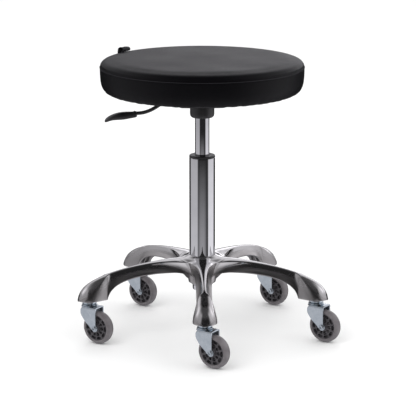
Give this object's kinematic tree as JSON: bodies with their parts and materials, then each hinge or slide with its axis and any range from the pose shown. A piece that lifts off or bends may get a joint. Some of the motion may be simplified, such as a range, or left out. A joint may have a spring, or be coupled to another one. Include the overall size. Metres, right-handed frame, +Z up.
{
  "type": "adjustable swivel stool",
  "caption": "Round padded swivel stool with a gas-lift column and release lever on a star base with swivel casters.",
  "frame": {"origin": "on the floor, in the middle of the stool's outline seen from above, to the millimetre; the column's axis stands at x -0.011, y 0.028", "axes": "+Z up; one arm of the base points along -Y, to the front, and the lever reaches out along -X"},
  "size_m": [0.5064, 0.4754, 0.5471],
  "materials": {
    "polished_aluminium": "polished",
    "chrome": "polished",
    "zinc": "satin",
    "steel": "satin",
    "black_steel": "satin",
    "black_plastic": "satin",
    "black_vinyl": "satin",
    "foam": "matte",
    "plywood": "matte",
    "black_cloth": "matte",
    "grey_tyre": "satin",
    "grey_core": "satin",
    "rubber": "matte"
  },
  "bodies": {
    "base": {"star_base": "polished_aluminium", "column_tube": "chrome", "column_bush": "black_plastic", "caster_stem_1": "zinc", "caster_stem_2": "zinc", "caster_stem_3": "zinc", "caster_stem_4": "zinc", "caster_stem_5": "zinc"},
    "lift_rod": {"piston_rod": "steel", "piston": "rubber", "thrust_bearing": "steel", "rod_buffer": "rubber", "rod_clip": "steel"},
    "seat": {"pressure_tube": "chrome", "tube_gland": "rubber", "bracket_socket": "black_steel", "socket_collar": "black_plastic", "seat_bracket": "black_steel", "seat_board": "plywood", "seat_foam": "foam", "seat_cover": "black_vinyl", "dust_cover": "black_cloth", "seat_tab": "black_cloth", "lever_pivot_pin": "steel", "bracket_bolt_1": "zinc", "bracket_bolt_2": "zinc", "bracket_bolt_3": "zinc", "bracket_bolt_4": "zinc", "tee_nut_1": "zinc", "tee_nut_2": "zinc", "tee_nut_3": "zinc", "tee_nut_4": "zinc"},
    "lever": {"lever_rod": "black_steel", "lever_grip": "black_plastic"},
    "release": {"release_pin": "steel"},
    "caster_1": {"caster_fork_1": "zinc", "axle_bolt_1": "zinc", "axle_nut_1": "zinc"},
    "wheel_1": {"wheel_tyre_1": "grey_tyre", "wheel_core_1": "grey_core"},
    "caster_2": {"caster_fork_2": "zinc", "axle_bolt_2": "zinc", "axle_nut_2": "zinc"},
    "wheel_2": {"wheel_tyre_2": "grey_tyre", "wheel_core_2": "grey_core"},
    "caster_3": {"caster_fork_3": "zinc", "axle_bolt_3": "zinc", "axle_nut_3": "zinc"},
    "wheel_3": {"wheel_tyre_3": "grey_tyre", "wheel_core_3": "grey_core"},
    "caster_4": {"caster_fork_4": "zinc", "axle_bolt_4": "zinc", "axle_nut_4": "zinc"},
    "wheel_4": {"wheel_tyre_4": "grey_tyre", "wheel_core_4": "grey_core"},
    "caster_5": {"caster_fork_5": "zinc", "axle_bolt_5": "zinc", "axle_nut_5": "zinc"},
    "wheel_5": {"wheel_tyre_5": "grey_tyre", "wheel_core_5": "grey_core"}
  },
  "joints": [
    {"name": "seat_swivel", "type": "hinge", "parent": "base", "child": "lift_rod", "pos_m": [-0.011, 0.028, 0.09], "axis": [0, 0, 1], "continuous": true},
    {"name": "seat_height", "type": "slide", "parent": "lift_rod", "child": "seat", "axis": [0, 0, 1], "range_m": [-0.07, 0.07]},
    {"name": "lever_lift", "type": "hinge", "parent": "seat", "child": "lever", "pos_m": [-0.045, 0.028, 0.457], "axis": [0, 1, 0], "range_deg": [0, 6], "stiffness_Nm_per_rad": 4, "springref_deg": -5.73},
    {"name": "release_press", "type": "slide", "parent": "seat", "child": "release", "axis": [0, 0, 1], "range_m": [-0.0036, 0]},
    {"name": "caster_swivel_1", "type": "hinge", "parent": "base", "child": "caster_1", "pos_m": [-0.011, -0.2015, 0.0727], "axis": [0, 0, 1], "continuous": true},
    {"name": "wheel_spin_1", "type": "hinge", "parent": "caster_1", "child": "wheel_1", "pos_m": [0.00616, -0.2136, 0.032], "axis": [-0.5764, -0.8171, 0], "continuous": true},
    {"name": "caster_swivel_2", "type": "hinge", "parent": "base", "child": "caster_2", "pos_m": [0.20727, -0.04292, 0.0727], "axis": [0, 0, 1], "continuous": true},
    {"name": "wheel_spin_2", "type": "hinge", "parent": "caster_2", "child": "wheel_2", "pos_m": [0.22443, -0.05502, 0.032], "axis": [-0.5764, -0.8171, 0], "continuous": true},
    {"name": "caster_swivel_3", "type": "hinge", "parent": "base", "child": "caster_3", "pos_m": [0.1239, 0.21367, 0.0727], "axis": [0, 0, 1], "continuous": true},
    {"name": "wheel_spin_3", "type": "hinge", "parent": "caster_3", "child": "wheel_3", "pos_m": [0.14106, 0.20156, 0.032], "axis": [-0.5764, -0.8171, 0], "continuous": true},
    {"name": "caster_swivel_4", "type": "hinge", "parent": "base", "child": "caster_4", "pos_m": [-0.1459, 0.21367, 0.0727], "axis": [0, 0, 1], "continuous": true},
    {"name": "wheel_spin_4", "type": "hinge", "parent": "caster_4", "child": "wheel_4", "pos_m": [-0.12874, 0.20156, 0.032], "axis": [-0.5764, -0.8171, 0], "continuous": true},
    {"name": "caster_swivel_5", "type": "hinge", "parent": "base", "child": "caster_5", "pos_m": [-0.22927, -0.04292, 0.0727], "axis": [0, 0, 1], "continuous": true},
    {"name": "wheel_spin_5", "type": "hinge", "parent": "caster_5", "child": "wheel_5", "pos_m": [-0.21211, -0.05502, 0.032], "axis": [-0.5764, -0.8171, 0], "continuous": true}
  ],
  "couplings": [
    {"joint": "release_press", "follows": "lever_lift", "m_per_rad": -0.0343}
  ]
}
